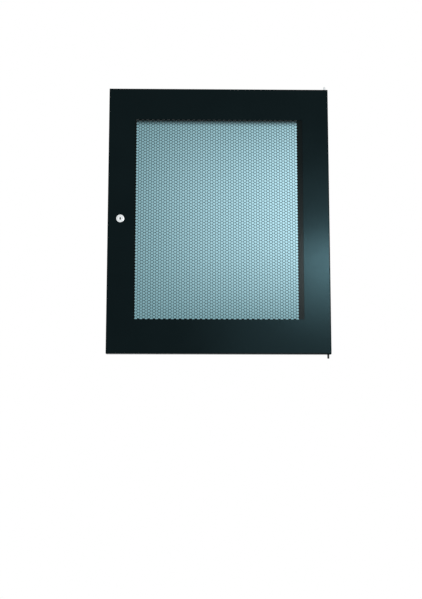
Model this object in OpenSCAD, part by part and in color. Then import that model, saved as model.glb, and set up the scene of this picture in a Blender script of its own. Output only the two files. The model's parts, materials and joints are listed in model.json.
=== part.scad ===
// Perforated rack door: a folded steel pan with a window, a perforated sheet
// behind it, a fixed hinge pin below, a sprung hinge pin above and a cam lock.
//
// Origin: on the hinge axis, at the level of the door's lower edge.
// +X points to the hinge side, +Y into the rack and +Z up. The front is at -Y.

/* [Door pan] */
// Width over the side flanges
door_w = 533.4; // [460:0.1:620]
// Height over the top and bottom flanges
door_h = 650; // [400:1:900]
// Depth from the front face to the back of the return lips
door_d = 20; // [18:0.5:26]
// Thickness of the folded sheet
skin_t = 1.5; // [1:0.1:2]
// Outside radius of every fold
fold_r = 2.6; // [2.2:0.1:4]
// Radius of the four welded and ground corners
corner_r = 2; // [1:0.25:4]
// Width of the return lips at the back
lip_w = 14; // [12:0.5:18]

/* [Window] */
// Width of the stiles left and right of the window
stile_w = 63.5; // [58:0.5:90]
// Height of the rail below the window
rail_h = 82.5; // [50:0.5:140]
// Height of the rail above the window
top_rail_h = 78.5; // [50:0.5:140]
// Corner radius of the window
window_r = 1.5; // [0.5:0.25:6]

/* [Perforated sheet] */
// Thickness of the perforated sheet
mesh_t = 1.2; // [0.8:0.1:2]
// Overlap of the sheet behind the stiles and rails
mesh_lap = 16; // [13:0.5:20]
// Solid margin that shows in the window on the hinge side
mesh_margin = 12.7; // [0:0.1:25]
// Centre distance of neighbouring holes, drawn three times coarser than it is pressed
hex_pitch = 22.4; // [20:0.1:60]
// Width of the web left between two holes
hex_web = 3.8; // [2:0.1:8]

/* [Sheet fixing] */
// Diameter of the weld studs that hold the sheet and the brackets
stud_d = 4; // [3:0.5:5]
// Length of the sheet's weld studs
stud_len = 8; // [6.5:0.5:10]
// Largest spacing of the studs round the window
stud_spacing = 150; // [80:5:260]
// Width across flats of the stud nuts
nut_af = 7; // [6.5:0.5:8]
// Height of the stud nuts with their flange
nut_h = 3.6; // [3:0.2:4.4]

/* [Hinge] */
// Distance of the hinge axis from the door's edge
hinge_inset = 7; // [7:0.25:12]
// Distance of the hinge axis behind the front face
hinge_setback = 10; // [9.5:0.25:11]
// Diameter of the hinge pins where they enter the rack
pin_d = 4.75; // [4:0.25:5.5]
// Length of each hinge pin outside the door
pin_reach = 9.5; // [6:0.5:16]
// Chamfer on the pins' ends
pin_chamfer = 0.8; // [0.4:0.1:1.2]
// Thickness of the hinge brackets
bracket_t = 2; // [1.5:0.25:2.5]
// Width of the hinge brackets
bracket_w = 21; // [19:0.5:24]
// Height of the lower bracket
lower_bracket_h = 32; // [28:1:60]
// Height of the upper bracket over both ears
upper_bracket_h = 52; // [46:1:80]

/* [Lower pin] */
// Diameter of the shank pressed into the lower bracket
shank_d = 6; // [5.5:0.25:7]
// Diameter of the head above the lower bracket
pin_head_d = 8; // [7.5:0.25:8.5]
// Height of the head above the lower bracket
pin_head_h = 2.5; // [1.5:0.25:4]

/* [Sprung pin] */
// Diameter of the upper pin's rod inside the door
rod_d = 6; // [6:0.25:7]
// How far the upper pin drops clear of the door's top edge when it is pulled down
pin_overtravel = 2.5; // [1:0.5:4]
// Length of the finger lever, from the hinge axis
lever_len = 33; // [24:1:36]
// Bend radius of the lever, at the middle of the rod
lever_bend_r = 6; // [5:0.5:9]
// Wire diameter of the spring
spring_wire = 1; // [0.8:0.1:1.2]
// Working turns of the spring
spring_turns = 9; // [6:1:12]

/* [Lock] */
// Distance of the lock's axis from the door's edge
lock_inset = 30.5; // [26:0.5:35]
// Diameter of the lock's head
lock_head_d = 19; // [18.5:0.5:22]
// Height of the lock's head over the front face
lock_head_h = 3; // [2.5:0.25:4]
// Diameter of the lock's threaded barrel
barrel_d = 16; // [15.5:0.25:16.5]
// Width across the two flats of the barrel
barrel_flats = 14; // [13.5:0.25:14.5]
// Diameter of the turning plug
plug_d = 11; // [10.5:0.25:11.5]
// Width across flats of the barrel nut
barrel_nut_af = 21; // [20:0.5:23]
// Height of the barrel nut
barrel_nut_h = 4; // [3:0.5:6]
// Reach of the cam from the lock's axis
cam_reach = 25; // [18:0.5:26]
// Width of the cam
cam_w = 14; // [11:0.5:15]
// Thickness of the cam
cam_t = 2.5; // [2:0.25:3.5]
// Angle through which the lock turns
lock_turn = 90; // [60:5:120]

/* [Fittings] */
// Distance of the rubber bumpers from the door's upper and lower edges
bumper_inset = 95; // [90:1:150]
// Diameter of the bumpers' domes
bumper_d = 10; // [8:0.5:10.5]
// Height of the bumpers' domes behind the lips
bumper_h = 3.5; // [2.5:0.25:5]
// Diameter of the grounding stud
ground_d = 6; // [5:0.5:6]
// Length of the grounding stud
ground_len = 16; // [14:0.5:18]

/* [Hidden] */

$fn = 48;
cut = 1;            // how far a cutter runs past what it cuts
press_gap = 0.05;   // radial play of a pressed or screwed piece
run_gap = 0.08;     // radial play of a turning or sliding pin
free_gap = 0.3;     // play between a moving piece and what it passes
hole_gap = 0.5;     // radial play of a clearance hole

// Planes of the pan
right_x = hinge_inset;
left_x = right_x - door_w;
front_y = -hinge_setback;
face_y = front_y + skin_t;              // back of the front face
back_y = front_y + door_d;              // back of the lips
lip_y = back_y - skin_t;                // front of the lips
top_z = door_h;

// Window
win_l = left_x + stile_w;
win_r = right_x - stile_w;
win_b = rail_h;
win_t = top_z - top_rail_h;
win_w = win_r - win_l;
win_h = win_t - win_b;

// Perforation: columns of holes with flat sides up, half a pitch apart in turn
hex_af = hex_pitch - hex_web;
hex_r = hex_af / sqrt(3);
hex_step = hex_pitch * sqrt(3) / 2;
field_w = win_w - mesh_margin;
hex_cols = floor((field_w - 2 * hex_r) / hex_step) + 1;
hex_rows = floor((win_h - hex_af - hex_pitch / 2) / hex_pitch) + 1;
hex_x0 = win_l + (field_w - (hex_cols - 1) * hex_step) / 2;
hex_z0 = win_b + (win_h - (hex_rows - 0.5) * hex_pitch) / 2 + hex_pitch / 4;

// Studs and nuts
mesh_y = face_y + mesh_t;               // back of the perforated sheet
stud_line = mesh_lap / 2;               // studs' distance outside the window
nut_flange_t = 1;
nut_flange_d = nut_af + 2.5;
side_studs = ceil((win_h + 2 * stud_line) / stud_spacing) + 1;
rail_studs = ceil((win_w + 2 * stud_line) / stud_spacing) + 1;
side_z = spread(win_b - stud_line, win_t + stud_line, side_studs);
rail_x = spread(win_l - stud_line, win_r + stud_line, rail_studs);
sheet_stud_pts = concat(
    [for (x = [win_l - stud_line, win_r + stud_line], z = side_z) [x, z]],
    [for (i = [1 : rail_studs - 2], z = [win_b - stud_line, win_t + stud_line]) [rail_x[i], z]]);

// Hinge brackets
bracket_fold_r = bracket_t + 1;
bracket_right = right_x - fold_r - free_gap;
bracket_left = bracket_right - bracket_w;
clip_d = rod_d + 3.6;
pin_washer_d = clip_d + 0.4;
bracket_back = pin_washer_d / 2 + 0.6;   // brackets' edge behind the hinge axis
bracket_web_y = face_y + bracket_t;
upper_ear_z = top_z - skin_t;           // top of the upper ear
lower_ear_z = upper_ear_z - upper_bracket_h + bracket_t;   // top of the lower ear
lower_leg_z = skin_t + bracket_t;       // top of the lower bracket's leg
bracket_stud_x = bracket_left + nut_flange_d / 2 + 0.5;
bracket_stud_len = bracket_t + nut_h + 1;
lower_stud_z = [lower_leg_z + nut_flange_d / 2 + 2, skin_t + lower_bracket_h - nut_flange_d / 2 - 1];
upper_stud_z = [lower_ear_z + nut_flange_d / 2 + 4, upper_ear_z - bracket_t - nut_flange_d / 2 - 4];
bracket_stud_pts = [for (z = concat(lower_stud_z, upper_stud_z)) [bracket_stud_x, z]];

// Sprung pin
pin_travel = pin_reach + pin_overtravel;
clip_t = 0.7;
groove_t = clip_t + 2 * press_gap;
groove_d = rod_d - 1.4;
clip_top = upper_ear_z - bracket_t - free_gap;
pin_washer_t = 1;
washer_top = clip_top - clip_t;
spring_top = washer_top - pin_washer_t;
lever_z = lower_ear_z - bracket_t - 2 - lever_bend_r;      // middle of the lever
spring_d = rod_d + spring_wire + 0.9;    // at the middle of the wire
spring_steps = 14;                      // rings in each turn of the wire
spring_sides = 8;

// Lock
lock_x = left_x + lock_inset;
lock_z = door_h / 2;
head_y = front_y - lock_head_h;
head_bevel = 0.8;
barrel_end = back_y + 1;
plug_flange_d = plug_d + 2;
plug_flange_t = 1.5;
plug_front = head_y + 0.4;
plug_seat = plug_front + plug_flange_t + free_gap;         // end of the head's counterbore
keyway_w = 2.2;
keyway_h = plug_d - 3.5;
keyway_end = lip_y - 2.5;
wafer_t = 0.8;
wafer_w = 4.8;
wafer_h = 2 * sqrt(pow(plug_d / 2 - 0.25, 2) - pow(wafer_w / 2, 2));
wafer_count = 4;
wafer_pitch = 3;
wafer_y0 = front_y + 4;
tail_w = 6;
stop_y = barrel_end + free_gap;         // front of the stop plate
stop_t = 1;
stop_hub_d = plug_d;
stop_lug_a = 40;                        // angle that the stop's lug spans
stop_play_a = 2.5;                      // angle left free at each end of the turn
stop_rim_h = stop_t - 0.1;              // height of the stop rim on the barrel
cam_y = stop_y + stop_t;
cam_back = cam_y + cam_t;
tail_end = cam_back - 0.3;
cam_washer_t = 1;
cam_washer_d = 11;
screw_d = 4;
screw_head_d = 8;
screw_head_h = 2.6;
screw_len = 7;
lock_washer_t = 1;
lock_washer_d = barrel_nut_af + 2;

// Fittings
bumper_stem_d = 5;
bumper_barb_d = 6.6;
bumper_barb_h = 2.2;
dome_rise = bumper_h * 0.75;            // the rest of the height is a straight rim
dome_r = (pow(bumper_d / 2, 2) + pow(dome_rise, 2)) / (2 * dome_rise);
left_lip_x = left_x + lip_w / 2 + skin_t / 2;
right_lip_x = right_x - lip_w / 2 - skin_t / 2;
bumper_pts = [for (x = [left_lip_x, right_lip_x], z = [bumper_inset, top_z - bumper_inset]) [x, z]];
ground_x = win_r - 40;
ground_z = rail_h / 2 - 4;
ground_washer_t = 1.2;
ground_nut_h = 5;
ground_nut_af = ground_d + 4;

finish_pan = "#1b2426";
finish_zinc = "#b9bcc0";
finish_pin = "#2b2d2f";
finish_nickel = "#e3e4e6";
finish_brass = "#b08d46";
finish_rubber = "#191919";

// Even spacing of n values from a to b
function spread(a, b, n) = [for (i = [0 : n - 1]) a + (b - a) * i / (n - 1)];

// Turns a shape drawn along +Z so that it runs along +Y, at a place on the door
module at_y(x, y, z) {
    translate([x, y, z]) rotate([-90, 0, 0]) children();
}

// Rectangle from the origin with four round corners
module round_rect(w, h, r) {
    translate([r, 0]) square([w - 2 * r, h]);
    translate([0, r]) square([w, h - 2 * r]);
    for (x = [r, w - r], y = [r, h - r]) translate([x, y]) circle(r = r);
}

// Box from the origin whose long edges are folded to radius r
module folded_box(w, d, h, r) {
    intersection() {
        linear_extrude(h) round_rect(w, d, r);
        rotate([90, 0, 90]) linear_extrude(w) round_rect(d, h, r);
    }
}

// Ring along +Z
module ring(outer_d, inner_d, h) {
    difference() {
        cylinder(d = outer_d, h = h);
        translate([0, 0, -cut]) cylinder(d = inner_d, h = h + 2 * cut);
    }
}

// Part of a ring along +Z, from angle a0 over angle a
module ring_part(outer_d, inner_d, h, a0, a) {
    rotate([0, 0, a0]) rotate_extrude(angle = a)
        translate([inner_d / 2, 0]) square([(outer_d - inner_d) / 2, h]);
}

// Cylinder along +Z with a chamfered far end
module bevelled_rod(d, h, c) {
    cylinder(d = d, h = h - c);
    translate([0, 0, h - c]) cylinder(d1 = d, d2 = d - 2 * c, h = c);
}

// Hexagonal nut along +Z, standing on a round flange
module flange_nut(af, h, flange_d, flange_t, bore_d) {
    difference() {
        union() {
            cylinder(d = flange_d, h = flange_t);
            cylinder(d = af * 2 / sqrt(3), h = h, $fn = 6);
        }
        translate([0, 0, -cut]) cylinder(d = bore_d, h = h + 2 * cut);
    }
}

// Round bar with two flats, along +Z
module double_d(d, flats, h) {
    intersection() {
        cylinder(d = d, h = h);
        translate([-flats / 2, -d, 0]) cube([flats, 2 * d, h]);
    }
}

// Cutter for every stud hole at the points pts, running along +Y
module stud_holes(pts, y, t) {
    for (p = pts) at_y(p[0], y - cut, p[1]) cylinder(d = stud_d + 2 * hole_gap, h = t + 2 * cut);
}

// Folded pan: front face, four flanges and four return lips
module door_frame() color(finish_pan) difference() {
    intersection() {
        translate([left_x, front_y, 0]) folded_box(door_w, door_d, door_h, fold_r);
        translate([left_x, back_y, 0]) rotate([90, 0, 0])
            linear_extrude(door_d) round_rect(door_w, door_h, corner_r);
    }
    translate([left_x + skin_t, face_y, skin_t])
        folded_box(door_w - 2 * skin_t, door_d - 2 * skin_t, door_h - 2 * skin_t, fold_r - skin_t);
    translate([left_x + lip_w, lip_y - cut, lip_w])
        cube([door_w - 2 * lip_w, skin_t + 2 * cut, door_h - 2 * lip_w]);
    translate([win_l, face_y + cut, win_b]) rotate([90, 0, 0])
        linear_extrude(skin_t + 2 * cut) round_rect(win_w, win_h, window_r);
    at_y(lock_x, front_y - cut, lock_z)
        double_d(barrel_d + 2 * press_gap, barrel_flats + 2 * press_gap, skin_t + 2 * cut);
    translate([0, 0, -cut]) cylinder(d = shank_d + 2 * press_gap, h = skin_t + 2 * cut);
    translate([0, 0, top_z - skin_t - cut]) cylinder(d = rod_d + 2 * hole_gap, h = skin_t + 2 * cut);
    for (p = bumper_pts) at_y(p[0], lip_y - cut, p[1])
        cylinder(d = bumper_stem_d + 2 * press_gap, h = skin_t + 2 * cut);
}

// Flat sheet with the field of hexagonal holes
module perforated_sheet() color(finish_pan) difference() {
    translate([win_l - mesh_lap, face_y, win_b - mesh_lap])
        cube([win_w + 2 * mesh_lap, mesh_t, win_h + 2 * mesh_lap]);
    hex_field();
    stud_holes(sheet_stud_pts, face_y, mesh_t);
}

// All the holes of the field, as cutters
module hex_field() {
    for (i = [0 : hex_cols - 1], j = [0 : hex_rows - 1])
        at_y(hex_x0 + i * hex_step, face_y - cut, hex_z0 + (j + (i % 2) / 2) * hex_pitch)
            cylinder(r = hex_r, h = mesh_t + 2 * cut, $fn = 6);
}

// Weld studs round the window
module sheet_studs() color(finish_zinc)
    for (p = sheet_stud_pts) at_y(p[0], face_y, p[1]) bevelled_rod(stud_d, stud_len, stud_d / 10);

// Flanged nuts that clamp the sheet
module sheet_nuts() color(finish_zinc)
    for (p = sheet_stud_pts) at_y(p[0], mesh_y, p[1])
        flange_nut(nut_af, nut_h, nut_flange_d, nut_flange_t, stud_d + 2 * press_gap);

// Angle on the bottom flange that carries the lower pin
module lower_hinge_bracket() color(finish_pan) difference() {
    translate([bracket_left, face_y, skin_t]) rotate([90, 0, 90])
        linear_extrude(bracket_w) angle_profile(bracket_back - face_y, lower_bracket_h);
    translate([0, 0, skin_t - cut]) cylinder(d = shank_d + 2 * press_gap, h = bracket_t + 2 * cut);
    stud_holes([for (z = lower_stud_z) [bracket_stud_x, z]], face_y, bracket_t);
}

// Folded angle, legs along the two axes
module angle_profile(w, h) intersection() {
    difference() {
        round_rect(2 * w, 2 * h, bracket_fold_r);
        translate([bracket_t, bracket_t])
            round_rect(2 * (w - bracket_t), 2 * (h - bracket_t), bracket_fold_r - bracket_t);
    }
    square([w, h]);
}

// Folded channel, open towards the first axis
module channel_profile(w, h) intersection() {
    difference() {
        round_rect(2 * w, h, bracket_fold_r);
        translate([bracket_t, bracket_t])
            round_rect(2 * (w - bracket_t), h - 2 * bracket_t, bracket_fold_r - bracket_t);
    }
    square([w, h]);
}

// Turned pin pressed through the lower bracket and the bottom flange
module lower_hinge_pin() color(finish_pin) {
    mirror([0, 0, 1]) bevelled_rod(pin_d, pin_reach, pin_chamfer);
    cylinder(d = shank_d, h = lower_leg_z);
    translate([0, 0, lower_leg_z]) bevelled_rod(pin_head_d, pin_head_h, pin_chamfer);
}

// Channel under the top flange whose two ears guide the sprung pin
module upper_hinge_bracket() color(finish_pan) difference() {
    translate([bracket_left, face_y, upper_ear_z - upper_bracket_h]) rotate([90, 0, 90])
        linear_extrude(bracket_w) channel_profile(bracket_back - face_y, upper_bracket_h);
    translate([0, 0, lever_z]) cylinder(d = rod_d + 2 * run_gap, h = top_z - lever_z);
    stud_holes([for (z = upper_stud_z) [bracket_stud_x, z]], face_y, bracket_t);
}

// Weld studs of the two brackets
module bracket_studs() color(finish_zinc)
    for (p = bracket_stud_pts) at_y(p[0], face_y, p[1]) bevelled_rod(stud_d, bracket_stud_len, stud_d / 10);

// Flanged nuts of the two brackets
module bracket_nuts() color(finish_zinc)
    for (p = bracket_stud_pts) at_y(p[0], bracket_web_y, p[1])
        flange_nut(nut_af, nut_h, nut_flange_d, nut_flange_t, stud_d + 2 * press_gap);

// Sliding rod with a turned-down tip, a groove for its clip and a bent lever
module upper_hinge_pin() color(finish_zinc) {
    bend_z = lever_z + lever_bend_r;
    difference() {
        union() {
            translate([0, 0, bend_z]) cylinder(d = rod_d, h = top_z - bend_z);
            translate([0, 0, top_z - cut]) bevelled_rod(pin_d, pin_reach + cut, pin_chamfer);
        }
        translate([0, 0, clip_top - clip_t - press_gap]) ring(2 * rod_d, groove_d, groove_t);
    }
    translate([-lever_bend_r, 0, bend_z]) rotate([90, 0, 0]) rotate([0, 0, -90])
        rotate_extrude(angle = 90) translate([lever_bend_r, 0]) circle(d = rod_d);
    translate([-lever_bend_r, 0, lever_z]) rotate([0, -90, 0])
        bevelled_rod(rod_d, lever_len - lever_bend_r, pin_chamfer);
}

// Snap ring in the pin's groove, open towards the back
module upper_pin_clip() color(finish_zinc)
    translate([0, 0, clip_top - clip_t]) difference() {
        ring(clip_d, groove_d + 2 * press_gap, clip_t);
        translate([-groove_d * 0.45, 0, -cut]) cube([groove_d * 0.9, clip_d, clip_t + 2 * cut]);
    }

// Washer between the clip and the spring
module upper_pin_washer() color(finish_zinc)
    translate([0, 0, spring_top]) ring(pin_washer_d, rod_d + 2 * run_gap, pin_washer_t);

// Compression spring, its wire swept along a helix with flattened end turns
module upper_pin_spring() color(finish_zinc) {
    wire_r = spring_wire / 2;
    height = spring_top - lower_ear_z - spring_wire;
    dead = 0.75;                        // closed turns at each end
    turns = spring_turns + 2 * dead;
    rings = round(turns * spring_steps);
    open_rise = (height - 2 * spring_wire * dead) / spring_turns;
    rise = function (t) let (open = max(0, min(spring_turns, t - dead)))
        open * open_rise + (t - open) * spring_wire;
    points = [for (i = [0 : rings], k = [0 : spring_sides - 1])
        let (t = i * turns / rings, a = 360 * t, b = 360 * k / spring_sides,
            r = spring_d / 2 + wire_r * cos(b))
        [r * cos(a), r * sin(a), lower_ear_z + wire_r + rise(t) + wire_r * sin(b)]];
    walls = [for (i = [0 : rings - 1], k = [0 : spring_sides - 1])
        let (a = i * spring_sides, b = a + spring_sides, n = (k + 1) % spring_sides)
        [a + k, b + k, b + n, a + n]];
    first = [for (k = [0 : spring_sides - 1]) k];
    last = [for (k = [spring_sides - 1 : -1 : 0]) rings * spring_sides + k];
    polyhedron(points, concat([first], walls, [last]));
}

// Head and threaded barrel, bored for the plug, with a stop rim at its end
module lock_housing() color(finish_nickel) at_y(lock_x, 0, lock_z) {
    difference() {
        union() {
            translate([0, 0, front_y]) mirror([0, 0, 1]) bevelled_rod(lock_head_d, lock_head_h, head_bevel);
            translate([0, 0, front_y]) double_d(barrel_d, barrel_flats, barrel_end - front_y);
        }
        translate([0, 0, head_y - cut]) cylinder(d = plug_d + 2 * run_gap, h = barrel_end - head_y + 2 * cut);
        translate([0, 0, head_y - cut])
            cylinder(d = plug_flange_d + 2 * free_gap, h = plug_seat - head_y + cut);
    }
    translate([0, 0, barrel_end])
        ring_part(barrel_flats, stop_hub_d + 2 * free_gap, stop_rim_h,
            180 + lock_turn + stop_lug_a / 2 + stop_play_a,
            360 - lock_turn - stop_lug_a - 2 * stop_play_a);
}

// Spring washer between the pan and the nut
module lock_washer() color(finish_zinc) at_y(lock_x, face_y, lock_z)
    ring(lock_washer_d, barrel_d + 4 * press_gap, lock_washer_t);

// Nut that clamps the lock
module lock_nut() color(finish_zinc) at_y(lock_x, face_y + lock_washer_t, lock_z) difference() {
    cylinder(d = barrel_nut_af * 2 / sqrt(3), h = barrel_nut_h, $fn = 6);
    translate([0, 0, -cut]) cylinder(d = barrel_d + 2 * press_gap, h = barrel_nut_h + 2 * cut);
}

// Turning plug with its keyway, wafer slots and square tail
module lock_plug() color(finish_nickel) at_y(lock_x, 0, lock_z) difference() {
    union() {
        translate([0, 0, plug_front]) cylinder(d = plug_flange_d, h = plug_flange_t);
        translate([0, 0, plug_front]) cylinder(d = plug_d, h = stop_y - plug_front);
        translate([-tail_w / 2, -tail_w / 2, stop_y - cut]) cube([tail_w, tail_w, tail_end - stop_y + cut]);
    }
    translate([-keyway_w / 2, -keyway_h / 2, head_y - cut])
        cube([keyway_w, keyway_h, keyway_end - head_y + cut]);
    for (i = [0 : wafer_count - 1])
        translate([-wafer_w / 2 - press_gap, -plug_d, wafer_y0 + i * wafer_pitch - press_gap])
            cube([wafer_w + 2 * press_gap, 2 * plug_d, wafer_t + 2 * press_gap]);
    translate([0, 0, tail_end - screw_len - cut])
        cylinder(d = screw_d + 2 * press_gap, h = screw_len + 2 * cut);
}

// Wafers in the plug, each with its window for the key
module lock_wafers() color(finish_brass) at_y(lock_x, 0, lock_z)
    for (i = [0 : wafer_count - 1]) translate([0, 0, wafer_y0 + i * wafer_pitch]) difference() {
        translate([-wafer_w / 2, -wafer_h / 2, 0]) cube([wafer_w, wafer_h, wafer_t]);
        translate([-keyway_w / 2, -keyway_h / 2 + i % 2, -cut])
            cube([keyway_w, keyway_h - 1, wafer_t + 2 * cut]);
    }

// Plate on the tail whose lug meets the ends of the barrel's stop rim
module cam_stop_plate() color(finish_zinc) at_y(lock_x, stop_y, lock_z) difference() {
    union() {
        cylinder(d = stop_hub_d, h = stop_t);
        ring_part(barrel_flats, stop_hub_d - 1, stop_t, 180 - stop_lug_a / 2, stop_lug_a);
    }
    tail_hole(stop_t);
}

// Cutter for the square hole on the plug's tail
module tail_hole(t) {
    side = tail_w + 2 * press_gap;
    translate([-side / 2, -side / 2, -cut]) cube([side, side, t + 2 * cut]);
}

// Flat cam with round ends, reaching towards the door's free edge
module lock_cam() color(finish_zinc) at_y(lock_x, cam_y, lock_z) difference() {
    union() {
        cylinder(d = barrel_d, h = cam_t);
        translate([-cam_reach + cam_w / 2, -cam_w / 2, 0]) cube([cam_reach - cam_w / 2, cam_w, cam_t]);
        translate([-cam_reach + cam_w / 2, 0, 0]) cylinder(d = cam_w, h = cam_t);
    }
    tail_hole(cam_t);
}

// Washer under the cam screw's head
module cam_washer() color(finish_zinc) at_y(lock_x, cam_back, lock_z)
    ring(cam_washer_d, screw_d + 2 * free_gap, cam_washer_t);

// Pan head screw with a cross recess, in the end of the tail
module cam_screw() color(finish_zinc) at_y(lock_x, cam_back + cam_washer_t, lock_z) difference() {
    union() {
        bevelled_rod(screw_head_d, screw_head_h, head_bevel);
        translate([0, 0, -screw_len]) cylinder(d = screw_d, h = screw_len + cut);
    }
    for (a = [0, 90]) rotate([0, 0, a])
        translate([-screw_d / 2, -screw_d / 8, screw_head_h / 2]) cube([screw_d, screw_d / 4, screw_head_h]);
}

// Rubber bumpers pushed into the return lips
module door_bumpers() color(finish_rubber)
    for (p = bumper_pts) at_y(p[0], back_y, p[1]) rotate_extrude() bumper_profile();

// Half section of a bumper: dome, stem and barb
module bumper_profile() {
    intersection() {
        square([bumper_d / 2, bumper_h]);
        translate([0, bumper_h - dome_r]) circle(r = dome_r, $fn = 96);
    }
    translate([0, -skin_t - bumper_barb_h]) square([bumper_stem_d / 2, skin_t + bumper_barb_h + cut]);
    translate([0, -skin_t - bumper_barb_h])
        polygon([[0, 0], [bumper_stem_d / 2 - 1, 0], [bumper_barb_d / 2, bumper_barb_h], [0, bumper_barb_h]]);
}

// Weld stud for the grounding lead
module ground_stud() color(finish_zinc) at_y(ground_x, face_y, ground_z)
    bevelled_rod(ground_d, ground_len, pin_chamfer);

// Washer of the grounding stud
module ground_washer() color(finish_zinc) at_y(ground_x, face_y, ground_z)
    ring(2 * ground_d, ground_d + 2 * free_gap, ground_washer_t);

// Nut of the grounding stud
module ground_nut() color(finish_zinc) at_y(ground_x, face_y + ground_washer_t, ground_z)
    flange_nut(ground_nut_af, ground_nut_h, ground_nut_af + 2, nut_flange_t, ground_d + 2 * press_gap);

door_frame();
perforated_sheet();
sheet_studs();
sheet_nuts();
lower_hinge_bracket();
lower_hinge_pin();
upper_hinge_bracket();
bracket_studs();
bracket_nuts();
upper_hinge_pin();
upper_pin_clip();
upper_pin_washer();
upper_pin_spring();
lock_housing();
lock_washer();
lock_nut();
lock_plug();
lock_wafers();
cam_stop_plate();
lock_cam();
cam_washer();
cam_screw();
door_bumpers();
ground_stud();
ground_washer();
ground_nut();
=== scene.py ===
# %% [markdown]
# # A perforated rack door
# The door is a folded steel pan with a window. A thin sheet full of hexagonal holes closes the
# window from behind, a small cylinder lock holds the door shut, and two pins on one edge carry it.
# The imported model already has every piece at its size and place. This script adds what a solid
# model leaves out: finishes, the true fine perforation, threads, snap rings, light and a camera.

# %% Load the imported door
import json
import math

import bpy
from mathutils import Matrix, Vector


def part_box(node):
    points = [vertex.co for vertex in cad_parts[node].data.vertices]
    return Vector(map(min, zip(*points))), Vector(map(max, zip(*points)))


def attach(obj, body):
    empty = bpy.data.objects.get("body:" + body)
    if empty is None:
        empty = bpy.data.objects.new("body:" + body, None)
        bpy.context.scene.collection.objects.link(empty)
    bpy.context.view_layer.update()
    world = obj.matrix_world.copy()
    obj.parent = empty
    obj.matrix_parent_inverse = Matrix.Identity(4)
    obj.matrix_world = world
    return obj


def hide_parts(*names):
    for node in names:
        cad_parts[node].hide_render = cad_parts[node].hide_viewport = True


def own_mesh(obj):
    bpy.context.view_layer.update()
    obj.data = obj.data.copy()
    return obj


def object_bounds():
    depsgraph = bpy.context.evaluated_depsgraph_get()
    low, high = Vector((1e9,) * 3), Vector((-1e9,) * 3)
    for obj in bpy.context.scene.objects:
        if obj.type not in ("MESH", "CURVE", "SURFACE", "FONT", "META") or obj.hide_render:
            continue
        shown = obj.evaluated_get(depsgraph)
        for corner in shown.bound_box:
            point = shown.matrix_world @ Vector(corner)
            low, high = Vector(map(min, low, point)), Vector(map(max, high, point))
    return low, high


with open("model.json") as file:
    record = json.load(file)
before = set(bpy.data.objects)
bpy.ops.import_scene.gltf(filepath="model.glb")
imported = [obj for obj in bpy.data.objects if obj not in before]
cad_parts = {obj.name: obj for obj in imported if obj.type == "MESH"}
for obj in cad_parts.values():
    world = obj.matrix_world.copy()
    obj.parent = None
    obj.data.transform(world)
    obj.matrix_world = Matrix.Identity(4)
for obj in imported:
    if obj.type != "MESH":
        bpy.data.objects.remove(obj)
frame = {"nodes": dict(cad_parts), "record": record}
door_low, door_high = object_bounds()
MM = 0.001
print("pieces in the packed door:", len(frame["nodes"]))
print("door's size in mm:", [round(size / MM, 1) for size in door_high - door_low])

# %% [markdown]
# ## Camera
# The door hangs on its pins at about shoulder height, and the camera stands in front of it, a
# little lower than its bottom edge, tilted up. That is why the underside of the bottom flange shows
# as a thin line. A fairly long lens keeps the edges nearly parallel. The place is given from the
# door's own middle, so that the view follows if the door is packed at another size.

# %% Set up the camera
door_middle = (door_low + door_high) / 2
camera_data = bpy.data.cameras.new("camera")
camera_data.lens = 63.67
camera_data.sensor_width = 36
camera = bpy.data.objects.new("camera", camera_data)
bpy.context.scene.collection.objects.link(camera)
camera.location = (door_middle.x - 55.3 * MM, door_middle.y - 2.5, door_low.z - 0.2255)
camera.rotation_euler = (math.radians(90 + 8.34), math.radians(-0.06), math.radians(-0.858))
bpy.context.scene.camera = camera
bpy.context.scene.view_settings.view_transform = "Standard"
print("camera to door:", round((camera.location - door_middle).length, 2), "m")

# %% [markdown]
# ## Building node trees
# Every finish here is a small network of shader nodes. Two helpers keep the cells short: one adds a
# node and fills its sockets, with a value or with another node's output, and one adds a sum or a
# product. Texture coordinates are the piece's own coordinates in metres, so a noise of scale 1000
# has grains of about a millimetre on every piece.

# %% Helpers for nodes
def add_node(tree, kind, sockets=None, **settings):
    """A new node, with its settings and its input sockets filled by value or by link."""
    node = tree.nodes.new("ShaderNode" + kind)
    for name, value in settings.items():
        setattr(node, name, value)
    for name, value in (sockets or {}).items():
        if isinstance(value, bpy.types.NodeSocket):
            tree.links.new(value, node.inputs[name])
        else:
            node.inputs[name].default_value = value
    return node


def calculate(tree, operation, a, b=0.0, clamp=False):
    """The output of a math node."""
    node = add_node(tree, "Math", {0: a, 1: b}, operation=operation, use_clamp=clamp)
    return node.outputs[0]


def blend_colours(tree, share, first, second):
    """The output of a colour mix: first where share is 0 and second where it is 1."""
    node = add_node(tree, "Mix", {0: share, 6: first, 7: second}, data_type="RGBA")
    return node.outputs[2]


def from_srgb(red, green, blue):
    """A colour given as on a screen, 0 to 255, as the light values that the nodes use."""
    def channel(value):
        value = value / 255
        return value / 12.92 if value <= 0.04045 else ((value + 0.055) / 1.055) ** 2.4
    return (channel(red), channel(green), channel(blue), 1.0)


print("black coat as light values:", [round(c, 4) for c in from_srgb(16, 26, 28)])

# %% [markdown]
# ## Studio
# A product like this is lit softly and stands in an even, bright room. The world is plain white for
# the camera and for reflections and a little dimmer as a lamp, so that colours come out about as
# they are written. Three lamps stand in front of the door, to the right and above the camera, where
# their mirror images fall on the hinge side of the black pan, low down. A big soft box gives the
# broad sheen that tells the eye that the pan is painted metal, and two wide strip lights give the
# brighter band across it, with a soft lower edge. Each lamp is placed from the spot on the door that
# should mirror it.

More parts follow.
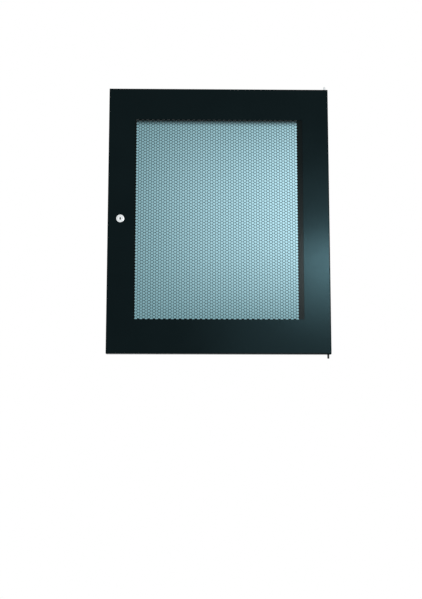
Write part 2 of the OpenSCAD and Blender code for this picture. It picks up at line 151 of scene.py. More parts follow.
# %% Light the studio
world = bpy.data.worlds.new("studio")
bpy.context.scene.world = world
world.use_nodes = True
tree = world.node_tree
tree.nodes.clear()
rays = add_node(tree, "LightPath").outputs
seen = calculate(tree, "MAXIMUM", rays["Is Camera Ray"], rays["Is Glossy Ray"])
seen = calculate(tree, "MAXIMUM", seen, rays["Is Transmission Ray"])
room_light = 0.62
strength = calculate(tree, "ADD", calculate(tree, "MULTIPLY", seen, 1 - room_light), room_light)
sky = add_node(tree, "Background", {"Color": (1, 1, 1, 1), "Strength": strength})
add_node(tree, "OutputWorld", {"Surface": sky.outputs[0]})


def mirrored_lamp(name, width, height, energy, beside, up_share, distance=2.3):
    """An area lamp that the camera sees mirrored at a spot on the front of the pan's hinge side."""
    data = bpy.data.lights.new(name, "AREA")
    data.shape = "RECTANGLE"
    data.size = width
    data.size_y = height
    data.energy = energy
    lamp = bpy.data.objects.new(name, data)
    bpy.context.scene.collection.objects.link(lamp)
    spot = Vector((door_high.x + beside, door_low.y, door_low.z + up_share * (door_high.z - door_low.z)))
    towards = (spot - camera.location).normalized()
    mirrored = Vector((towards.x, -towards.y, towards.z))
    lamp.location = spot + distance * mirrored
    lamp.rotation_euler = mirrored.to_track_quat("Z", "Y").to_euler()
    print(name, "at", [round(c, 2) for c in lamp.location])


mirrored_lamp("soft_box", 1.0, 1.0, energy=7, beside=0.0, up_share=0.28)
mirrored_lamp("low_strip_light", 0.6, 0.3, energy=8.5, beside=0.06, up_share=0.28)
mirrored_lamp("strip_light", 0.6, 0.1, energy=10.5, beside=0.09, up_share=0.365)

# %% [markdown]
# ## Floor
# The door is carried by its pins in a rack, so nothing stands under it. The floor lies well below,
# a plain pale plane that only shows in the higher views, where it catches the door's soft shadow.
# A little of its white comes as light for the camera alone, and further out more and more of it,
# so that the floor melts into the white room without an edge.

# %% Lay the floor
def flat_plate(name, corners):
    """A four-cornered plane as a new object."""
    mesh = bpy.data.meshes.new(name)
    mesh.from_pydata(corners, [], [(0, 1, 2, 3)])
    plate = bpy.data.objects.new(name, mesh)
    bpy.context.scene.collection.objects.link(plate)
    return plate


floor_z = door_low.z - 0.8
floor = flat_plate("floor", [(-5, -5, floor_z), (5, -5, floor_z), (5, 1.6, floor_z), (-5, 1.6, floor_z)])
floor_paint = bpy.data.materials.new("floor_paint")
floor_paint.use_nodes = True
tree = floor_paint.node_tree
tree.nodes.clear()
rays = add_node(tree, "LightPath").outputs
seen = calculate(tree, "MAXIMUM", rays["Is Camera Ray"], rays["Is Glossy Ray"])
seen = calculate(tree, "MAXIMUM", seen, rays["Is Transmission Ray"])
specks = add_node(tree, "TexNoise", {"Scale": 30.0, "Detail": 4.0})
pale = blend_colours(tree, specks.outputs["Fac"], (0.80, 0.80, 0.80, 1), (0.84, 0.84, 0.84, 1))
matt = add_node(tree, "BsdfDiffuse", {"Color": pale})
glow = add_node(tree, "Emission", {"Color": (1, 1, 1, 1), "Strength": calculate(tree, "MULTIPLY", seen, 0.25)})
near = add_node(tree, "AddShader", {0: matt.outputs[0], 1: glow.outputs[0]})
far = add_node(tree, "Emission", {"Color": (1, 1, 1, 1), "Strength": seen})
spot = add_node(tree, "TexCoord").outputs["Object"]
away = add_node(tree, "VectorMath", {0: spot, 1: (door_middle.x, 0.0, floor_z)}, operation="DISTANCE")
fade = add_node(tree, "MapRange", {"Value": away.outputs["Value"], "From Min": 0.4, "From Max": 1.55},
                interpolation_type="SMOOTHSTEP")
whole = add_node(tree, "MixShader", {0: fade.outputs[0], 1: near.outputs[0], 2: far.outputs[0]})
add_node(tree, "OutputMaterial", {"Surface": whole.outputs[0]})
floor.data.materials.append(floor_paint)
print("floor", round(door_low.z - floor_z, 2), "m below the door")

# %% [markdown]
# ## Effects that several finishes share
# Three small effects come back on many pieces, so each is a shader group that is built once:
# - powder_skin: the faint orange peel of baked powder, a wavy skin of about a millimetre with a finer
#   grain on it;
# - handling: broad, soft differences such as uneven plating, where a surface is a bit duller;
# - fine_lines: tiny parallel marks that rolling, drawing or turning leaves in metal.
# A group only gives heights and masks. The shader itself stays in each material.

# %% Powder skin, handling and fine lines
def new_group(name, inputs, outputs):
    """An empty shader group with float sockets: inputs as name to value, outputs as names."""
    group = bpy.data.node_groups.new(name, "ShaderNodeTree")
    for socket, value in inputs.items():
        made = group.interface.new_socket(socket, in_out="INPUT", socket_type="NodeSocketFloat")
        made.default_value = value
    for socket in outputs:
        group.interface.new_socket(socket, in_out="OUTPUT", socket_type="NodeSocketFloat")
    entry = group.nodes.new("NodeGroupInput").outputs
    leave = group.nodes.new("NodeGroupOutput").inputs
    place = add_node(group, "TexCoord").outputs["Object"]
    return group, entry, leave, place


powder_skin, entry, leave, place = new_group("powder_skin", {"Peel": 1100.0, "Grain": 5200.0}, ["Height", "Mask"])
peel = add_node(powder_skin, "TexNoise", {"Vector": place, "Scale": entry["Peel"], "Detail": 2.0})
grain = add_node(powder_skin, "TexNoise", {"Vector": place, "Scale": entry["Grain"], "Detail": 1.0})
height = calculate(powder_skin, "MULTIPLY", grain.outputs["Fac"], 0.3)
height = calculate(powder_skin, "ADD", peel.outputs["Fac"], height)
powder_skin.links.new(height, leave["Height"])
powder_skin.links.new(peel.outputs["Fac"], leave["Mask"])

handling, entry, leave, place = new_group("handling", {"Size": 14.0, "Contrast": 2.0}, ["Mask"])
clouds = add_node(handling, "TexNoise", {"Vector": place, "Scale": entry["Size"], "Detail": 5.0, "Roughness": 0.6})
mask = calculate(handling, "SUBTRACT", clouds.outputs["Fac"], 0.5)
mask = calculate(handling, "MULTIPLY", mask, entry["Contrast"])
mask = calculate(handling, "ADD", mask, 0.5, clamp=True)
handling.links.new(mask, leave["Mask"])

fine_lines, entry, leave, place = new_group("fine_lines", {"Fineness": 2500.0, "Length": 60.0}, ["Height"])
scale = add_node(fine_lines, "CombineXYZ", {0: entry["Fineness"], 1: entry["Fineness"], 2: entry["Length"]})
stretched = add_node(fine_lines, "VectorMath", {0: place, 1: scale.outputs[0]}, operation="MULTIPLY")
lines = add_node(fine_lines, "TexNoise", {"Vector": stretched.outputs[0], "Scale": 1.0, "Detail": 3.0})
fine_lines.links.new(lines.outputs["Fac"], leave["Height"])
print("shared groups:", [group.name for group in bpy.data.node_groups])

# %% [markdown]
# ## Finishes
# Four kinds of finish cover the whole door. The pan, the sheet and the brackets are powder coated in
# a black that leans to blue-green and has a satin gloss. The hardware is bright zinc, the lock is
# nickel, with brass wafers inside, and the bumpers are rubber. Each is a Principled shader with
# its constant values on the shader's own sockets; what varies over the surface comes from the groups.

# %% Helpers for finishes
def use_group(tree, group, **inputs):
    """A group node in a material, with its inputs set."""
    node = tree.nodes.new("ShaderNodeGroup")
    node.node_tree = group
    for name, value in inputs.items():
        node.inputs[name].default_value = value
    return node.outputs


def span(tree, mask, low, high):
    """A value that goes from low to high as the mask goes from 0 to 1."""
    return calculate(tree, "ADD", calculate(tree, "MULTIPLY", mask, high - low), low)


def new_finish(name, constants):
    """A material with an empty Principled shader that has these constant values."""
    material = bpy.data.materials.new(name)
    material.use_nodes = True
    tree = material.node_tree
    tree.nodes.clear()
    shader = add_node(tree, "BsdfPrincipled", constants)
    add_node(tree, "OutputMaterial", {"Surface": shader.outputs[0]})
    return material, tree, shader


def set_bump(tree, shader, height, distance, strength=1.0):
    """Raises the surface by the height, which is in shares of the distance."""
    bump = add_node(tree, "Bump", {"Height": height, "Distance": distance, "Strength": strength})
    tree.links.new(bump.outputs[0], shader.inputs["Normal"])


def powder_coat(name, dark, light, gloss, sheen, tint):
    """Baked powder: dark and light are its shades, gloss its lowest roughness, sheen how much it mirrors."""
    material, tree, shader = new_finish(name, {"Specular IOR Level": sheen, "Specular Tint": tint})
    skin = use_group(tree, powder_skin)
    dull = use_group(tree, handling, Size=9.0, Contrast=1.6)
    tree.links.new(blend_colours(tree, dull["Mask"], dark, light), shader.inputs["Base Color"])
    tree.links.new(span(tree, dull["Mask"], gloss, gloss + 0.05), shader.inputs["Roughness"])
    set_bump(tree, shader, skin["Height"], 0.006 * MM)
    return material


pan_coat = powder_coat("black_powder", from_srgb(7, 13, 14), from_srgb(10, 17, 18), 0.15,
                       sheen=0.08, tint=(0.42, 0.86, 1.0, 1))
sheet_coat = powder_coat("black_powder_on_sheet", from_srgb(9, 15, 16), from_srgb(13, 20, 21), 0.17,
                         sheen=0.045, tint=(0.75, 0.9, 0.92, 1))
print("coats:", pan_coat.name, sheet_coat.name)

# %% Metals and rubber
def plated(name, bright, cloudy, smooth, rough, lines=0.002, metallic=1.0, cloud_size=60.0):
    """Plated or bare metal: bright and cloudy are its shades, smooth and rough its roughness range."""
    material, tree, shader = new_finish(name, {"Metallic": metallic})
    clouds = use_group(tree, handling, Size=cloud_size, Contrast=1.8)
    drawn = use_group(tree, fine_lines)
    tree.links.new(blend_colours(tree, clouds["Mask"], bright, cloudy), shader.inputs["Base Color"])
    tree.links.new(span(tree, clouds["Mask"], smooth, rough), shader.inputs["Roughness"])
    set_bump(tree, shader, drawn["Height"], lines * MM)
    return material


zinc = plated("bright_zinc", from_srgb(214, 218, 222), from_srgb(190, 195, 196), 0.24, 0.4)
nickel = plated("satin_nickel", from_srgb(236, 240, 241), from_srgb(208, 213, 215), 0.16, 0.26, cloud_size=120.0)
brass = plated("brass", from_srgb(214, 178, 102), from_srgb(186, 146, 74), 0.28, 0.42, cloud_size=200.0)
spring_steel = plated("spring_steel", from_srgb(150, 152, 155), from_srgb(112, 115, 119), 0.22, 0.36, cloud_size=200.0)
blackened = plated("blackened_steel", from_srgb(34, 38, 40), from_srgb(22, 25, 27), 0.34, 0.46, metallic=0.7)

rubber, tree, shader = new_finish("black_rubber", {"Specular IOR Level": 0.3})
skin = use_group(tree, powder_skin, Peel=2600.0, Grain=9000.0)
dust = use_group(tree, handling, Size=300.0, Contrast=2.0)
shade = blend_colours(tree, dust["Mask"], from_srgb(22, 23, 24), from_srgb(34, 35, 36))
tree.links.new(shade, shader.inputs["Base Color"])
tree.links.new(span(tree, dust["Mask"], 0.62, 0.78), shader.inputs["Roughness"])
set_bump(tree, shader, skin["Height"], 0.02 * MM)
print("finishes:", len([m for m in bpy.data.materials if m.use_nodes]))

# %% [markdown]
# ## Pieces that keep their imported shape
# Folded sheet, turned pins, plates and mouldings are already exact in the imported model, so they only
# get their finish. The record names one material slot for each of them, and this table gives each
# slot the finish made above.

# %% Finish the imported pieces
finish_of_slot = {
    "powder_coat": pan_coat,
    "sheet_coat": sheet_coat,
    "black_pin": blackened,
    "nickel": nickel,
    "brass": brass,
    "rubber": rubber,
    "spring_steel": spring_steel,
    "zinc": zinc,
}
slot_of_node = {part["node"]: part["material_slot"] for part in frame["record"]["subparts"]}
for node_name, packed in frame["nodes"].items():
    for place in packed.material_slots:
        place.material = finish_of_slot[slot_of_node[node_name]]
print("packed pieces finished:", len(slot_of_node))

# %% [markdown]
# ## Keyway
# A keyway is narrow and deep, greased with graphite and full of small edges, so from the front it is
# a dark slot however bright the plug's face is. The plug keeps its nickel, and this copy of the finish
# turns dark and dull from a few tenths of a millimetre behind the face: graphite together with painted
# shade in the slot. The middle of the face round the keyhole is darkened with painted shade as well.

# %% Paint shade into the keyway
def with_painted_keyway_shade(finish, name, start, full, shade_middle):
    """A copy of a plated finish darkened by graphite and painted shade between two depths along +Y and round one spot.
    """
    material = finish.copy()
    material.name = name
    tree = material.node_tree
    shader = next(node for node in tree.nodes if node.type == "BSDF_PRINCIPLED")
    spot = add_node(tree, "SeparateXYZ", {0: add_node(tree, "TexCoord").outputs["Object"]}).outputs
    # painted shade with graphite: the finish darkens with depth behind the plug's face
    deep = add_node(tree, "MapRange", {"Value": spot[1], "From Min": start, "From Max": full}).outputs[0]
    # painted shade round the keyhole, on the middle of the plug's face
    away = add_node(tree, "VectorMath", {0: add_node(tree, "TexCoord").outputs["Object"], 1: shade_middle},
                    operation="DISTANCE").outputs["Value"]
    painted_keyhole_shade = add_node(tree, "MapRange", {"Value": away, "From Min": 2.3 * MM, "From Max": 1.5 * MM},
                     interpolation_type="SMOOTHSTEP").outputs[0]
    mask = calculate(tree, "MAXIMUM", deep, painted_keyhole_shade)
    plain = shader.inputs["Base Color"].links[0].from_socket
    # the dark colour of the graphite and the painted shade
    tree.links.new(blend_colours(tree, mask, plain, from_srgb(14, 15, 16)), shader.inputs["Base Color"])
    smooth = shader.inputs["Roughness"].links[0].from_socket
    rougher = calculate(tree, "MAXIMUM", smooth, calculate(tree, "MULTIPLY", mask, 0.65))
    tree.links.new(rougher, shader.inputs["Roughness"])
    return material


plug = frame["nodes"]["lock_plug"]
plug_low, plug_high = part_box("lock_plug")
keyhole = ((plug_low.x + plug_high.x) / 2, plug_low.y, (plug_low.z + plug_high.z) / 2)
graphite_and_painted_shade = with_painted_keyway_shade(nickel, "nickel_with_graphite_and_painted_shade", plug_low.y + 0.1 * MM, plug_low.y + 0.5 * MM, keyhole)
for place in plug.material_slots:
    place.material = graphite_and_painted_shade
print("plug's face at", round(plug_low.y / MM, 1), "mm")

# %% [markdown]
# ## Building meshes
# The finer pieces are made from plain mesh code. One helper turns points and faces into a piece that
# rides on its body, takes the finish of its material slot and hides the imported pieces it stands
# for. Round things come from a ring grid: a list of rings, each with the same number of points,
# joined by quads. Sharp edges are found by their angle, so that a nut's flats stay crisp and a bore stays smooth.

# %% Helpers for meshes
def new_piece(name, points, faces, body, slot, stands_for=(), crease=28):
    """A mesh piece in the door's frame, shaded smooth up to the crease angle."""
    mesh = bpy.data.meshes.new(name)
    mesh.from_pydata(points, [], faces)
    mesh.shade_smooth()
    mesh.set_sharp_from_angle(angle=math.radians(crease))
    mesh.materials.append(finish_of_slot[slot])
    piece = bpy.data.objects.new(name, mesh)
    bpy.context.scene.collection.objects.link(piece)
    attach(piece, body)
    if stands_for:
        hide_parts(*stands_for)
    triangles = sum(len(face) - 2 for face in faces)
    print(name, "has", triangles, "triangles")
    return piece


def join_rings(rings, closed=False, capped=False):
    """Points and faces of a skin over rings of points; closed joins the last ring to the first."""
    count = len(rings[0])
    points = [point for ring in rings for point in ring]
    faces = []
    for i in range(len(rings) if closed else len(rings) - 1):
        a, b = i * count, (i + 1) % len(rings) * count
        for k in range(count):
            n = (k + 1) % count
            faces.append((a + k, a + n, b + n, b + k))
    if capped:
        faces.append(tuple(range(count - 1, -1, -1)))
        faces.append(tuple(len(points) - count + k for k in range(count)))
    return points, faces


def merge(parts):
    """Several lots of points and faces as one."""
    points, faces = [], []
    for more_points, more_faces in parts:
        start = len(points)
        points += more_points
        faces += [tuple(start + k for k in face) for face in more_faces]
    return points, faces


def along_y(x, y, z):
    """Turns a shape drawn along +Z so that it runs along +Y from this place."""
    return Matrix.Translation((x, y, z)) @ Matrix.Rotation(math.radians(-90), 4, "X")


def placed(shape, matrix):
    """The same shape after a matrix."""
    points, faces = shape
    return [tuple(matrix @ Vector(point)) for point in points], faces


def loose_solids(node_name):
    """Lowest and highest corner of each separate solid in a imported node, from low to high."""
    mesh = frame["nodes"][node_name].data
    owner = list(range(len(mesh.vertices)))

    def find(k):
        while owner[k] != k:
            owner[k] = owner[owner[k]]
            k = owner[k]
        return k

    first_at = {}
    for vertex in mesh.vertices:
        spot = tuple(round(value, 6) for value in vertex.co)
        owner[find(vertex.index)] = find(first_at.setdefault(spot, vertex.index))
    for edge in mesh.edges:
        owner[find(edge.vertices[0])] = find(edge.vertices[1])
    groups = {}
    for vertex in mesh.vertices:
        groups.setdefault(find(vertex.index), []).append(vertex.co)
    boxes = [
        (Vector(map(min, *group)), Vector(map(max, *group)))
        for group in groups.values()
    ]
    return sorted(boxes, key=lambda box: (round(box[0].x, 4), round(box[0].z, 4)))


stud_boxes = loose_solids("sheet_studs")
print("studs round the window:", len(stud_boxes))

# %% [markdown]
# ## The perforated sheet
# This is the piece that takes the most skill. The real sheet has more than four thousand hexagonal
# holes on 9/32 inch centres with a web of under a millimetre between them, in columns that are each
# half a hole lower than the last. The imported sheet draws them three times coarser, which keeps its
# exact solid small. Cutting four thousand holes with booleans is slow and fragile, so the sheet is
# laid like tiles: each tile is a hexagon of the pitch, either a ring round a hole or, in the margins,
# a whole plate. Neighbours share their corners. Corners that fall outside the sheet are pulled
# onto its edge, which trims it straight, and a Solidify modifier gives the steel its thickness,
# with the hole walls and the rim.

# %% Lay the tiles of the sheet
sheet_low, sheet_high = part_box("perforated_sheet")
sheet_lap = 16 * MM
margin = 12.7 * MM
hole_pitch = 25.4 * MM * 9 / 32
web = 1.0 * MM
under_frame = 2.5 * MM
window_low = Vector((sheet_low.x + sheet_lap, 0, sheet_low.z + sheet_lap))
window_high = Vector((sheet_high.x - sheet_lap, 0, sheet_high.z - sheet_lap))
column_step = hole_pitch * math.sqrt(3) / 2
tile_reach = hole_pitch / math.sqrt(3)
hole_reach = (hole_pitch - web) / math.sqrt(3)
corner_angles = [math.radians(60 * k) for k in range(6)]


def is_punched(x, z):
    """True where a tile has a hole: in the window and just under the rails, but not in the margins."""
    if not window_low.x < x - hole_reach or not x + hole_reach < window_high.x - margin + 0.01 * MM:
        return False
    return window_low.z - under_frame < z - hole_reach and z + hole_reach < window_high.z + under_frame


def lay_tiles():
    """Points and faces of the sheet's front, and the number of holes."""
    points, faces, number_at, holes = [], [], {}, 0

    def corner(x, z):
        x = min(max(x, sheet_low.x), sheet_high.x)
        z = min(max(z, sheet_low.z), sheet_high.z)
        spot = (round(x * 1e7), round(z * 1e7))
        if spot not in number_at:
            number_at[spot] = len(points)
            points.append((x, sheet_low.y, z))
        return number_at[spot]

    columns = int((sheet_high.x - sheet_low.x) / column_step) + 3
    rows = int((sheet_high.z - sheet_low.z) / hole_pitch) + 4
    first_x = window_high.x - margin - hole_reach - column_step * (columns - 7)
    first_z = (window_low.z + window_high.z) / 2 - hole_pitch * (rows // 2)
    for i in range(columns):
        x = first_x + i * column_step
        for j in range(rows):
            z = first_z + (j + (i % 2) / 2) * hole_pitch
            outer = [corner(x + tile_reach * math.cos(a), z + tile_reach * math.sin(a)) for a in corner_angles]
            if is_punched(x, z):
                inner = [corner(x + hole_reach * math.cos(a), z + hole_reach * math.sin(a)) for a in corner_angles]
                faces += [(outer[k], outer[(k + 1) % 6], inner[(k + 1) % 6], inner[k]) for k in range(6)]
                holes += 1
            else:
                plate = [c for k, c in enumerate(outer) if c != outer[k - 1]]
                wide = len({points[c][0] for c in plate}) > 1 and len({points[c][2] for c in plate}) > 1
                if len(plate) > 2 and wide:
                    faces.append(tuple(plate))
    return points, faces, holes


points, faces, holes = lay_tiles()
open_share = ((hole_pitch - web) / hole_pitch) ** 2
sheet = new_piece("fine_perforated_sheet", points, faces, "door", "sheet_coat", ["perforated_sheet"])
steel = sheet.modifiers.new("steel", "SOLIDIFY")
steel.thickness = sheet_high.y - sheet_low.y
steel.offset = -1
print("holes:", holes, "open share:", round(open_share, 2))

# %% [markdown]
# ## A card behind the holes
# Through the holes of such a sheet one sees what lies behind it, and against a white room the holes
# would swallow the thin web. So a pale blue-green card stands close behind the sheet, as a
# photographer would put it there. It isn't part of the door. It glows a little for the camera
# alone, so it lights nothing and no bright nut mirrors it, and from behind it can't be seen. Its glow
# holds painted light: it is brightest on the right, a little above the middle, and darker towards the
# left and the two ends. A painted shadow of the top rail darkens it softly at the top, starting where
# a level line of sight past the rail's edge would meet the card.

# %% Stand the card behind the sheet
card_y = sheet_high.y + 9 * MM
card = flat_plate("backing_card", [
    (sheet_low.x, card_y, sheet_low.z),
    (sheet_high.x, card_y, sheet_low.z),
    (sheet_high.x, card_y, sheet_high.z),
    (sheet_low.x, card_y, sheet_high.z),
])
card_with_painted_light = bpy.data.materials.new("card_with_painted_light")
card_with_painted_light.use_nodes = True
tree = card_with_painted_light.node_tree
tree.nodes.clear()
place = add_node(tree, "SeparateXYZ", {0: add_node(tree, "TexCoord").outputs["Object"]}).outputs
window_size = window_high - window_low
# painted light: the card's glow is brightest on the right, a little above the middle, and darker towards the left and
# the two ends
across = calculate(tree, "DIVIDE", calculate(tree, "SUBTRACT", place[0], window_low.x), window_size.x)
up = calculate(tree, "DIVIDE", calculate(tree, "SUBTRACT", place[2], window_low.z), window_size.z)
off_middle = calculate(tree, "SUBTRACT", up, 0.55)
fall = calculate(tree, "MULTIPLY", off_middle, off_middle)
slope = calculate(tree, "SUBTRACT", 0.96, calculate(tree, "MULTIPLY", fall, 2.7))
painted_light_level = calculate(tree, "MULTIPLY", across, slope)
painted_light_level = calculate(tree, "SUBTRACT", painted_light_level, calculate(tree, "MULTIPLY", fall, 0.62))
painted_light_level = calculate(tree, "ADD", painted_light_level, 0.148, clamp=True)
# the card's two shades, mixed by the painted light level
colour = blend_colours(tree, painted_light_level, from_srgb(125, 165, 173), from_srgb(192, 239, 252))
# painted shadow of the top rail: the glow fades from full to dark over 18 mm, up to 3.7 mm above the window's top edge
painted_shadow_start = window_high.z + 3.7 * MM
below = calculate(tree, "SUBTRACT", painted_shadow_start, place[2])
painted_rail_shadow = add_node(tree, "MapRange", {"Value": below, "From Min": 0.0, "From Max": 18 * MM},
                     interpolation_type="SMOOTHSTEP").outputs[0]
seen = add_node(tree, "LightPath").outputs["Is Camera Ray"]
glow = add_node(tree, "Emission", {"Color": colour, "Strength": painted_rail_shadow})
clear = add_node(tree, "BsdfTransparent")
hidden = add_node(tree, "NewGeometry").outputs["Backfacing"]
shown = calculate(tree, "MULTIPLY", seen, calculate(tree, "SUBTRACT", 1.0, hidden))
card_surface = add_node(tree, "MixShader", {0: shown, 1: clear.outputs[0], 2: glow.outputs[0]})
add_node(tree, "OutputMaterial", {"Surface": card_surface.outputs[0]})
card.data.materials.append(card_with_painted_light)
print("card", round((card_y - sheet_high.y) / MM, 1), "mm behind the sheet")

# %% [markdown]
# ## Rings, threads and nuts
# Studs, nuts and the lock barrel are turned or rolled, so each is a stack of rings. A ring's radius
# and height may change with the angle, which is all that a hexagon with its turned chamfer needs. A
# thread is a ridge that climbs one pitch for each turn: every point's radius follows its phase, its
# height in pitches less its share of a turn. Rolled threads have flat tops and roots, so the wave
# is clipped. Flats are cut by holding back the radius on two sides.

# %% Helpers for turned pieces
def ring(sides, radius, height):
    """One ring of points; radius and height are numbers, or functions of the angle."""
    points = []
    for k in range(sides):
        angle = 2 * math.pi * k / sides
        r = radius(angle) if callable(radius) else radius
        z = height(angle) if callable(height) else height
        points.append((r * math.cos(angle), r * math.sin(angle), z))
    return points


def thread_rings(sides, radius, pitch, start, end, chamfer, flats=None):
    """Rings of a threaded rod from start to end, with a chamfered far end."""
    depth = 0.58 * pitch
    steps = math.ceil(6 * (end - start) / pitch)
    rings = []
    for i in range(steps + 1):
        z = start + (end - start) * i / steps

        def crest(angle):
            phase = (z / pitch - angle / (2 * math.pi)) % 1
            ridge = min(max(1.7 * abs(2 * phase - 1) - 0.35, 0), 1)
            r = min(radius - depth * (1 - ridge), radius - chamfer + (end - z))
            return min(r, flats / 2 / max(abs(math.cos(angle)), 0.01)) if flats else r

        rings.append(ring(sides, crest, z))
    return rings


def nut_rings(across, height, bore, foot=None, foot_height=0.0, sides=48):
    """Closed rings of a hexagonal nut with turned chamfers and, where foot is given, a round flange."""
    lead = 0.25 * MM
    edge = 0.96 * across / 2

    def rim(angle):
        return across / 2 / math.cos(angle % math.radians(60) - math.radians(30))

    def chamfer(angle):
        return max(rim(angle) - edge, 0) * 0.58

    rings = [ring(sides, bore / 2, lead), ring(sides, bore / 2 + lead, 0)]
    if foot:
        rings += [ring(sides, foot / 2 - 0.15 * MM, 0), ring(sides, foot / 2, 0.15 * MM)]
        rings += [ring(sides, foot / 2, 0.5 * foot_height), ring(sides, rim, foot_height)]
    else:
        rings += [ring(sides, edge, 0), ring(sides, rim, chamfer)]
    rings += [ring(sides, rim, lambda angle: height - chamfer(angle)), ring(sides, edge, height)]
    rings += [ring(sides, bore / 2 + lead, height), ring(sides, bore / 2, height - lead)]
    return rings


def middle(box):
    """The middle of a pair of corners."""
    return (box[0] + box[1]) / 2


print("a nut's rings:", len(nut_rings(7 * MM, 3.6 * MM, 4 * MM, 9.5 * MM, 1 * MM)))

# %% [markdown]
# ## Studs and nuts
# The sheet and the two hinge brackets are held by short studs that are resistance welded to the
# inside of the pan, each with a flanged nut. One bigger stud takes the earth lead. A weld stud has a
# plain neck of about a millimetre above its weld, and its thread starts there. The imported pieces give
# every stud's and nut's place and length, so each new one is laid in the box of the one it replaces.

# %% Thread the studs and chamfer the nuts
def weld_studs(name, node_name, pitch, chamfer, sides=20):
    """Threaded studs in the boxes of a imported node's studs."""
    parts = []
    for box in loose_solids(node_name):
        spot = middle(box)
        radius = (box[1].x - box[0].x) / 2
        length = box[1].y - box[0].y
        neck = [ring(sides, radius * 0.9, 0), ring(sides, radius * 0.9, 1.2 * MM)]
        thread = thread_rings(sides, radius, pitch, 1.25 * MM, length, chamfer)
        parts.append(placed(join_rings(neck + thread, capped=True), along_y(spot.x, box[0].y, spot.z)))
    points, faces = merge(parts)
    return new_piece(name, points, faces, "door", "zinc", [node_name])


def flanged_nuts(name, node_name, across, bore, foot_height=1 * MM):
    """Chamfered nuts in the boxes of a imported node's nuts."""
    parts = []
    for turn, box in enumerate(loose_solids(node_name)):
        spot = middle(box)
        rings = nut_rings(across, box[1].y - box[0].y, bore, box[1].x - box[0].x, foot_height)
        turned = Matrix.Rotation(math.radians(17 * turn), 4, "Z")
        parts.append(placed(join_rings(rings, closed=True), along_y(spot.x, box[0].y, spot.z) @ turned))
    points, faces = merge(parts)
    return new_piece(name, points, faces, "door", "zinc", [node_name])


weld_studs("threaded_sheet_studs", "sheet_studs", 0.7 * MM, 0.5 * MM)
weld_studs("threaded_bracket_studs", "bracket_studs", 0.7 * MM, 0.5 * MM)
weld_studs("threaded_ground_stud", "ground_stud", 1.0 * MM, 0.8 * MM, sides=28)
flanged_nuts("chamfered_sheet_nuts", "sheet_nuts", 7 * MM, 4 * MM)
flanged_nuts("chamfered_bracket_nuts", "bracket_nuts", 7 * MM, 4 * MM)
flanged_nuts("chamfered_ground_nut", "ground_nut", 10 * MM, 6 * MM)

# %% [markdown]
# ## Lock barrel and nut
# The housing of a cam lock is one turned piece: a round head with a rolled edge, and a threaded
# barrel with two flats that stop it turning in its hole. In front it has a counterbore for the plug's
# collar, and at its back end a low rim over part of a turn, against which the stop plate comes to
# rest. The section is drawn once, from the counterbore outwards and back through the bore.

# %% Turn the lock barrel
def part_ring(inner, outer, low, high, start, turn, steps=36):
    """A solid part of a ring, from the start angle over a turn, in degrees."""
    rings = []
    for i in range(steps + 1):
        angle = math.radians(start + turn * i / steps)
        cos, sin = math.cos(angle), math.sin(angle)
        section = [(inner, low), (outer, low), (outer, high), (inner, high)]
        rings.append([(r * cos, r * sin, z) for r, z in section])
    return join_rings(rings, capped=True)


lock_low, lock_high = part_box("lock_housing")
lock_middle = middle((lock_low, lock_high))
pan_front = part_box("door_frame")[0].y
head = (lock_high.x - lock_low.x) / 2
barrel, flats = 16 * MM, 14 * MM
collar_bore, bore = 13.6 * MM / 2, 11.16 * MM / 2
barrel_end = lock_high.y - 0.9 * MM
edge_round = 0.8 * MM
sides = 96


def flat_sided(angle):
    """The barrel's radius at this angle, with its two flats and just inside the thread's crest."""
    return min(barrel / 2 - 0.55 * MM, flats / 2 / max(abs(math.cos(angle)), 0.01))


rings = [ring(sides, bore, lock_low.y + 2.2 * MM), ring(sides, collar_bore, lock_low.y + 2.2 * MM)]
rings += [ring(sides, collar_bore, lock_low.y + 0.25 * MM), ring(sides, collar_bore + 0.25 * MM, lock_low.y)]
for step in range(7):
    angle = math.radians(90 * step / 6)
    out, up = edge_round * math.sin(angle), edge_round * (1 - math.cos(angle))
    rings.append(ring(sides, head - edge_round + out, lock_low.y + up))
rings += [ring(sides, head, pan_front - 0.1 * MM), ring(sides, head - 0.1 * MM, pan_front)]
rings += [ring(sides, flat_sided, pan_front), ring(sides, flat_sided, pan_front + 1.6 * MM)]
rings += thread_rings(sides, barrel / 2, 1.0 * MM, pan_front + 1.7 * MM, barrel_end, 0.7 * MM, flats)
rings += [ring(sides, bore + 0.25 * MM, barrel_end), ring(sides, bore, barrel_end - 0.25 * MM)]
stop_rim = part_ring(11.6 * MM / 2, flats / 2, barrel_end, lock_high.y, 292.5, 225)
points, faces = merge([join_rings(rings, closed=True), stop_rim])
points, faces = placed((points, faces), along_y(lock_middle.x, 0, lock_middle.z))
new_piece("threaded_lock_barrel", points, faces, "door", "nickel", ["lock_housing"])

# %% Chamfer the lock nut
nut_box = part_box("lock_nut")
nut_height = nut_box[1].y - nut_box[0].y
nut_across = (nut_box[1].x - nut_box[0].x) * math.cos(math.radians(30))
rings = nut_rings(nut_across, nut_height, barrel + 0.1 * MM, sides=96)
points, faces = placed(join_rings(rings, closed=True), along_y(lock_middle.x, nut_box[0].y, lock_middle.z))
new_piece("chamfered_lock_nut", points, faces, "door", "zinc", ["lock_nut"])

# %% [markdown]
# ## Snap ring
# The ring that carries the spring's push on the sprung pin is stamped from spring steel. It grips
# the bottom of the pin's groove with three lugs, two beside its mouth and one opposite, and stands
# clear of the groove between them so that it can spread when it is pushed on from the side.

# %% Stamp the snap ring
clip_low, clip_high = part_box("upper_pin_clip")
clip_outer = (clip_high.x - clip_low.x) / 2
clip_seat = 4.7 * MM / 2
clip_relief = 6.6 * MM / 2
half_mouth = 0.45 * 4.6 * MM


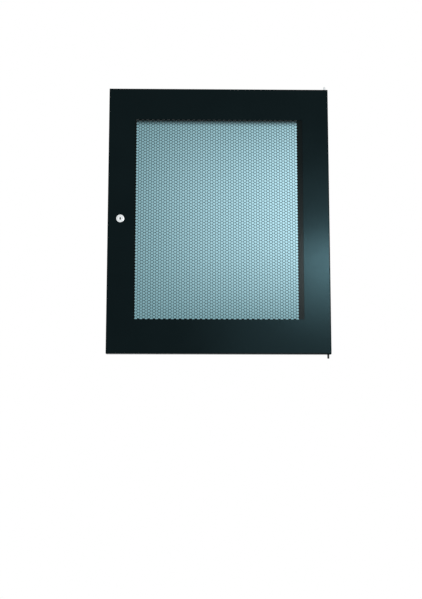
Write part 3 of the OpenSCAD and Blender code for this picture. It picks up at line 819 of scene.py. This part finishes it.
def clip_section(share):
    """Four corners of the ring's section, at a share of the way from one side of its mouth to the other."""
    lug = min(abs(share - place) for place in (0.0, 0.5, 1.0))
    rise = min(max((lug - 0.07) / 0.035, 0), 1)
    inner = clip_seat + (clip_relief - clip_seat) * rise
    corners = []
    for radius, first in ((clip_outer, half_mouth / clip_outer), (inner, half_mouth / clip_seat)):
        start = math.asin(first)
        angle = start + (2 * math.pi - 2 * start) * share
        corners.append((radius * math.sin(angle), radius * math.cos(angle)))
    (ox, oy), (ix, iy) = corners
    return [(ox, oy, clip_low.z), (ox, oy, clip_high.z), (ix, iy, clip_high.z), (ix, iy, clip_low.z)]


points, faces = join_rings([clip_section(i / 120) for i in range(121)], capped=True)
clip = new_piece("snap_ring", points, faces, "sprung_pin", "zinc", ["upper_pin_clip"])
stamped = clip.modifiers.new("stamped_edge", "BEVEL")
stamped.width = 0.08 * MM
stamped.segments = 2
stamped.limit_method = "ANGLE"
stamped.angle_limit = math.radians(50)

# %% [markdown]
# ## Coil spring
# The spring is cold coiled from round wire. Its last three quarters of a turn at each end lie closed
# and are ground flat, so that it stands square on the bracket's ear and under its washer. The wire
# runs round a helix whose climb is written as a function of the turns; rings that would go past the
# ground faces are pressed onto them.

# %% Coil the spring
spring_low, spring_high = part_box("upper_pin_spring")
wire = 1.0 * MM
coil = 7.9 * MM / 2
open_turns, closed_turns = 9, 0.75
all_turns = open_turns + 2 * closed_turns
first_height = 0.15 * wire
climb = (spring_high.z - spring_low.z - 2 * (first_height + 0.5 * wire)) / open_turns


def wire_height(turns):
    """Height of the wire's middle above the spring's foot, after this many turns."""
    if turns > all_turns / 2:
        return spring_high.z - spring_low.z - wire_height(all_turns - turns)
    opened = max(turns - closed_turns, 0)
    return first_height + 0.5 * wire * min(turns / closed_turns, 1) + climb * opened


rings = []
steps = int(40 * all_turns)
for i in range(steps + 1):
    turns = all_turns * i / steps
    angle = 2 * math.pi * turns
    section = []
    for k in range(14):
        around = 2 * math.pi * k / 14
        radius = coil + wire / 2 * math.cos(around)
        z = spring_low.z + wire_height(turns) + wire / 2 * math.sin(around)
        z = min(max(z, spring_low.z), spring_high.z)
        section.append((radius * math.cos(angle), radius * math.sin(angle), z))
    rings.append(section)
points, faces = join_rings(rings, capped=True)
spring = new_piece("coiled_spring", points, faces, "sprung_pin", "spring_steel", ["upper_pin_spring"], crease=60)
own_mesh(spring)
